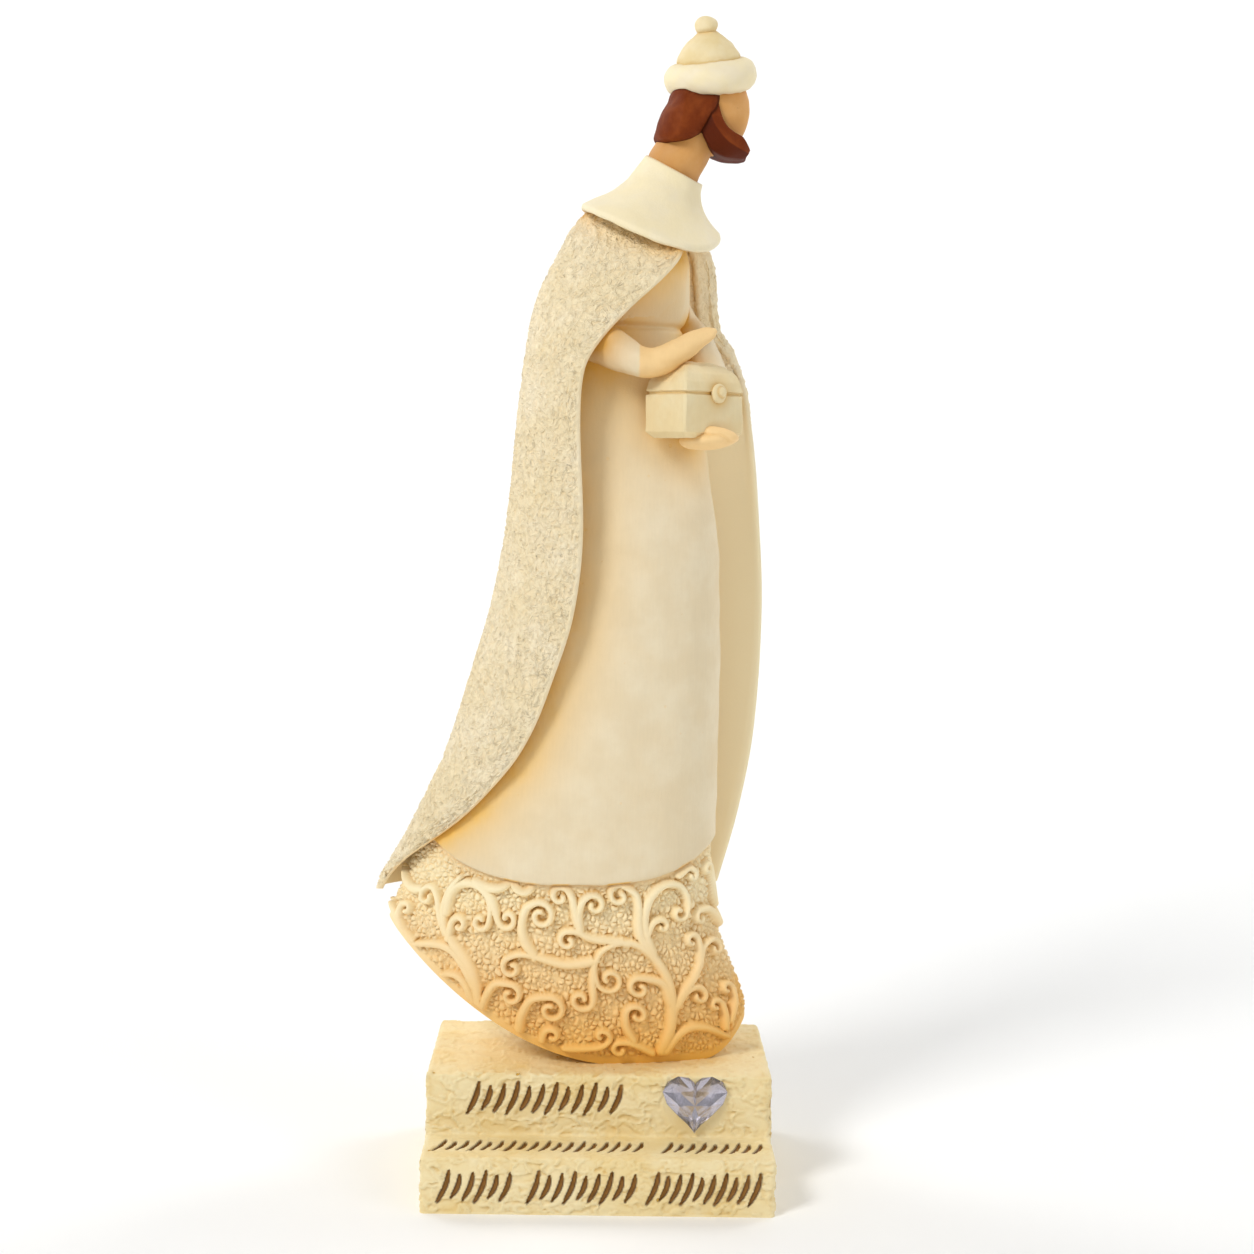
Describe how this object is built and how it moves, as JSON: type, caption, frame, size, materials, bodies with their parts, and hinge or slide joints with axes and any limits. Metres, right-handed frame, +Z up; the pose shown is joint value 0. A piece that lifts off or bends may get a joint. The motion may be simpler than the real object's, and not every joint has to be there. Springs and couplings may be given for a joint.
{
  "type": "wise man nativity figurine",
  "caption": "Slim robed king in cast stone resin, holding a small casket, with a flowing cape and scroll-carved hem, standing on a stepped plinth set with a faceted heart.",
  "frame": {"origin": "middle of the plinth's underside", "axes": "+Z up, +X along the plinth's width towards the side the figure faces, -Y out of the plinth's gouged front"},
  "size_m": [0.0843, 0.052, 0.2418],
  "materials": {
    "stone_resin": "matte",
    "plinth_resin": "matte",
    "heart_crystal": "gloss"
  },
  "bodies": {
    "root": {"figure": "stone_resin", "plinth": "plinth_resin", "heart_gem": "heart_crystal"}
  },
  "joints": []
}
